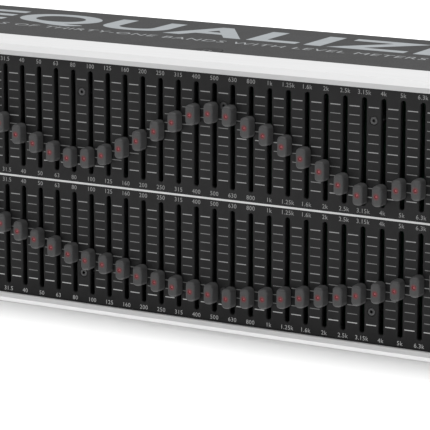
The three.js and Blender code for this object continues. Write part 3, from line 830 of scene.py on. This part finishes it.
# ---- Case ----
def cover():
    """A folded sheet: its top has a dimple for each screw that holds it to the front frame."""
    low, high = COVER_LOW, COVER_HIGH
    middle = (low.y + high.y) / 2
    top = panel(high.x - low.x, high.y - low.y, 0.6)
    dimples = [disc(DIMPLE["radius"], x, DIMPLE["y"] - middle, 48) for x in LUG_X]
    solid = Solid()
    fold = 0.9
    solid.plate([top] + dimples, 0, SHEET, fold, 0, facing("up", 0, middle, high.z), steps=4)
    slope = [(1 - 0.55 * step / 8, (1 - math.cos(math.pi * step / 8)) / 2) for step in range(9)]
    seat = [(DIMPLE["radius"], SHEET)] + [(DIMPLE["radius"] * r, DIMPLE["depth"] * y) for r, y in slope]
    for x in LUG_X:
        solid.turned(seat, 0, 48, facing("up", x, DIMPLE["y"], high.z))
    bottom, seam = high.z - COVER_LIP, high.z - fold
    for side in (-1, 1):
        left, right = sorted((side * high.x, side * (high.x - SHEET)))
        solid.block((left, low.y, bottom), (right, high.y - 1.4, seam))
    solid.block((low.x + 1.7, high.y - SHEET, bottom), (high.x - 1.7, high.y, seam))
    solid.piece("cover_shell", [COVER_PAINT], "dark_cover", ["top_cover"])


def case():
    edged_copy("chassis_tray", 0.25).piece("case_tray", [CASE_PAINT], "dark_steel", ["chassis_tray"])
    cover()
    edged_copy("rear_panel", 0.12, 1).piece("rear_plate", [CASE_PAINT], "dark_steel", ["rear_panel"])
    solid = Solid()
    large = Matrix.Translation((COVER_PRINT_X, 89.5, COVER_HIGH.z))
    small = Matrix.Translation((COVER_PRINT_X, 64.3, COVER_HIGH.z))
    print_text(solid, "EQUALIZER", 28.3, large, 1.5, 1.1, weight=1.15)
    words = "TWO CHANNELS OF THIRTY-ONE BANDS WITH LEVEL METERS AND BAND LAMPS"
    print_text(solid, words, 5.8, small, 1.3, 1.1, 1)
    solid.piece("cover_lettering", [COVER_INK, COVER_INK_DIM], "dark_cover")


# ---- Rear connectors ----
def xlr(solid, x, plug):
    """A chassis connector: a plug's cup with three pins, or a socket with three contacts and a latch."""
    place = facing("back", x, XLR_FACE, XLR_Z)
    bore = 9.5 if plug else 8.8
    screws_at = [disc(1.5, side * -9.6, side * 12, 12) for side in (-1, 1)]
    solid.plate([panel(26, 31, 2.5), disc(bore, points=40)] + screws_at, 0, 1.8, 0.2, 0, place)
    for side in (-1, 1):
        screw = place @ Matrix.Translation((side * -9.6, 0, side * 12))
        solid.loft(socket(0.3, 0.75, 0.8) + [at(circle(1.45), 0.3), at(circle(1.45), 4)], 1, screw)
    if plug:
        cup = [(0.2, 16), (9.3, 16), (9.5, 15.8), (9.5, 1.75), (11.6, 1.75), (11.6, 26)]
        solid.turned(cup, 0, 40, place)
    else:
        holes = [disc(1.5, px, pz, 16) for px, pz in XLR_PINS]
        solid.plate([disc(8.7, points=40)] + holes, 0.4, 12, 0.25, 0, place)
        solid.turned([(8.9, 1.75), (11.6, 1.75), (11.6, 26), (8.9, 26)], 0, 40, place)
        solid.stud(panel(5, 2.6, 0.5, 0, 11.9), -0.6, 1, 0.3, 1, place)
    pin = [(1.2, 16.2), (1.2, 3.2), (0.95, 2.7), (0.4, 2.5)]
    contact = [(1.4, 12), (1.4, 6), (1.0, 6), (1.0, 11.5)]
    for px, pz in XLR_PINS:
        solid.turned(pin if plug else contact, 1, 16, place @ Matrix.Translation((px, 0, pz)))


def jack(solid, x):
    """A quarter-inch socket: its sleeve, its nut and its body behind the panel."""
    place = facing("back", x, CONNECTOR_FACE, JACK_Z)
    sleeve = [(4.5, 8), (4.5, 0.25), (4.2, 0), (3.5, 0), (3.3, 0.25), (3.3, 20), (0.3, 20.1)]
    solid.turned(sleeve, 1, 24, place)
    nut = [at(circle(4.55), 2.5), at(circle(4.55), 0.7), at(hexagon(6), 0.6), at(hexagon(6.4), 0.85),
           at(hexagon(6.4), 2.5)]
    solid.loft(nut, 1, place)
    solid.stud(panel(15, 15, 1), 4.35, 27, 0.5, 0, place)


def connector_board():
    solid = Solid()
    solid.plate([panel(172, 76, 2, 110, 68)], REAR_BOARD, REAR_BOARD + 1.6, 0.1, 2)
    for x in INPUTS:
        xlr(solid, x, plug=False)
    for x in OUTPUTS:
        xlr(solid, x, plug=True)
    for x in INPUTS + OUTPUTS:
        jack(solid, x)
    solid.piece("rear_sockets_and_board", [BLACK_MOULDING, BRIGHT_STEEL, SOLDER_MASK], "black_connector",
                ["connector_board"])


def mains_inlet():
    inlet = centre("mains_inlet")
    place = facing("back", inlet.x, CONNECTOR_FACE, inlet.z)
    solid = Solid()
    screws_at = [disc(1.7, side * 20, 0, 16) for side in (-1, 1)]
    solid.plate([panel(48, 24, 3), panel(24, 16.4, 2.5)] + screws_at, 0, 2.5, 0.3, 0, place)
    outer, inner = panel(27, 20, 3), panel(24, 16.4, 2.5)
    shell = [at(inner(-0.3), 16), at(inner(), 15.7), at(inner(), 2.45), at(outer(), 2.45), at(outer(), 18)]
    solid.loft(shell, 0, place)
    for side in (-1, 1):
        solid.loft(socket(0.4, 0.8, 0.9) + [at(circle(1.6), 0.4), at(circle(1.6), 5)], 1,
                   place @ Matrix.Translation((side * 20, 0, 0)))
    for dx, dz in ((-7, -2), (7, -2), (0, 2)):
        solid.stud(panel(2, 4, 0.3, -dx, dz), 3, 16.2, 0.4, 1, place)
    solid.piece("mains_inlet_moulding", [BLACK_MOULDING, BRIGHT_STEEL], "black_connector", ["mains_inlet"])


def rear_marks():
    solid = Solid()
    place = Matrix.Rotation(math.pi, 4, "Z") @ UPRIGHT
    words = [("INPUT", sum(INPUTS) / 2, 107), ("OUTPUT", sum(OUTPUTS) / 2, 107), ("POWER", -160, 56)]
    words += [(str(n + 1), x, 64) for xs in (INPUTS, OUTPUTS) for n, x in enumerate(xs)]
    for text, x, z in words:
        print_text(solid, text, 3, Matrix.Translation((x, REAR_FACE, z)) @ place, 1.1, spacing=1.1)
    solid.piece("rear_marks", [LABEL_INK], "dark_steel")


# ---- Main board and transformer ----
def main_board():
    """A board on six pillars, with a row of capacitors, one of chips and one of resistors."""
    top = MAIN_BOARD["top"]
    solid = Solid()

    def upright(x, y):
        return facing("up", x, y, top)

    pillars = [(x, y) for x in (-104, 45, 194) for y in (37, 83)]
    holes = [disc(1.6, x - MAIN_BOARD["x"], y - MAIN_BOARD["y"], 12) for x, y in pillars]
    board = panel(310, 56, 2)
    solid.plate([board] + holes, 0, 1.6, 0.1, 0, upright(MAIN_BOARD["x"], MAIN_BOARD["y"]))
    screw = [(0.8, -1.2), (2.3, -1), (2.7, -0.5), (2.7, 0), (1.4, 0), (1.4, 3)]
    for x, y in pillars:
        solid.turned([(3, 1.65), (3, 12)], 2, 6, upright(x, y))
        solid.turned(screw, 2, 20, upright(x, y))
    sleeve = [(5.6, 0.1), (6, -0.4), (6, -20.8), (5.8, -21.6), (5.3, -21.8), (4.6, -21.5)]
    for i in range(6):
        place = upright(-90 + i * 16, 72)
        solid.turned(sleeve, 3, 32, place)
        solid.turned([(4.7, -21.4), (4.7, -21.6), (0.2, -21.62)], 2, 32, place)
    for i in range(8):
        x = -14 + i * 26
        solid.stud(panel(12, 18, 0.3, 0, 0), -3.5, -0.8, 0.3, 1, upright(x, 53))
        for leg in range(7):
            y = 53 + (leg - 3) * 2.4
            for side in (-1, 1):
                foot = x + side * 6.9
                solid.block((foot - 0.9, y - 0.3, top - 1), (foot + 0.2, y + 0.3, top + 2), 2)
    for i in range(14):
        place = Matrix.Translation((-16 + i * 14, 76, top + 1.3))
        solid.turned([(0.3, -6), (0.3, -3.2), (1.1, -3), (1.1, 3), (0.3, 3.2), (0.3, 6)], 4, 12, place)
    solid.piece("main_board_with_parts", [SOLDER_MASK, BLACK_MOULDING, BRIGHT_STEEL, BLUE_SLEEVE, AMBER_FILM],
                "green_board", ["main_board"])


def transformer():
    """A laminated core with a winding on either side of it, held down by a strap."""
    low, high = span("power_transformer")
    x, y = (low.x + high.x) / 2, (low.y + high.y) / 2
    solid = Solid()
    solid.stud(panel(60, 44, 1), -42, 0, 1, 0, facing("up", x, y, 10))
    for side in (-1, 1):
        place = Matrix.Translation((x, y, 30)) @ Matrix.Rotation(math.radians(90 - side * 90), 4, "Z")
        solid.stud(panel(36, 32, 5, steps=6), -28.6, -21, 2.5, 1, place)
        solid.plate([panel(39, 35, 2)], -22.6, -20.6, 0.3, 2, place)
    strap = [(-42, 1.6), (-32, 1.6), (-32, 50), (-30.2, 50), (-30.2, 3.4), (-42, 3.4)]
    bolt = [(1, -1.7), (3, -1.5), (3.4, 0), (1.6, 0), (1.6, 1.4)]
    for side in (-1, 1):
        outline = [Vector((x + side * px, 0, pz)) for px, pz in strap]
        solid.loft([[p + Vector((0, y + d, 0)) for p in outline] for d in (-9, 9)], 3)
        solid.turned(bolt, 3, 20, facing("up", x + side * 37, y, 3.4))
    solid.block((x - 30.2, y - 9, 51.8), (x + 30.2, y + 9, 52), 3)
    materials = [CORE_STEEL, COPPER, AMBER_FILM, BRIGHT_STEEL]
    solid.piece("transformer_core_and_windings", materials, "transformer_core", ["power_transformer"])


front_frame()
fascia()
screws()
dividing_line()
for channel in CHANNELS:
    scale_marks(channel)
    band_numbers(channel)
    control_marks(channel)
    channel_board(channel)
    gain_knob(channel)
    push_button(channel, "eq", GREEN_LAMP)
    push_button(channel, "detect", AMBER_LAMP)
    meter(channel)
faders()
power_button()
case()
connector_board()
mains_inlet()
rear_marks()
main_board()
transformer()


# ---- Floor, lights and camera ----
def studio():
    paint = surface("floor_white", (0.62, 0.62, 0.62), 0.35, specular=0.0, mottle=(400.0, 0.004),
                    grain=(30.0, 0.0))
    solid = Solid()
    solid.block((-20000, -20000, -30), (20000, 20000, 0))
    floor = bpy.data.objects.new("floor", solid.data("floor", [paint.material]))
    bpy.context.scene.collection.objects.link(floor)
    floor.visible_shadow = False

    world = bpy.data.worlds.new("studio")
    world.use_nodes = True
    background = world.node_tree.nodes["Background"]
    background.inputs["Color"].default_value = (1, 1, 1, 1)
    background.inputs["Strength"].default_value = 0.62
    bpy.context.scene.world = world

    def soft_light(name, location, width, depth, power, target):
        light = bpy.data.lights.new(name, "AREA")
        light.shape = "RECTANGLE"
        light.size = width
        light.size_y = depth
        light.energy = power
        holder = bpy.data.objects.new(name, light)
        holder.location = location
        holder.rotation_euler = (Vector(target) - Vector(location)).to_track_quat("-Z", "Y").to_euler()
        bpy.context.scene.collection.objects.link(holder)
        return holder

    soft_light("overhead", (0.3, 0.1, 2.5), 2.2, 2.4, 84, (0.1, 0, 0))
    soft_light("front_left", (-1.75, -2.3, 1.6), 0.6, 0.6, 11, (0, 0, 0.06))
    soft_light("under_edge", (0, FACE - 0.08, -0.6), 1.2, 0.25, 7, (0, FACE - 0.0799, 0))
    sweep = soft_light("floor_sweep", (0, 0.42, 1.5), 1.6, 1.3, 38, (0, 0, 0))
    lit = bpy.data.collections.new("floor_only")
    lit.objects.link(floor)
    sweep.light_linking.receiver_collection = lit


def camera():
    data = bpy.data.cameras.new("camera")
    data.lens = 228.4
    data.sensor_width = 36
    holder = bpy.data.objects.new("camera", data)
    holder.location = (0.65941, -1.1744, 0.34108)
    holder.rotation_euler = (math.radians(90 - 12.401), 0, math.radians(29.515))
    bpy.context.scene.collection.objects.link(holder)
    bpy.context.scene.camera = holder


studio()
camera()
bpy.context.scene.view_settings.view_transform = "Standard"
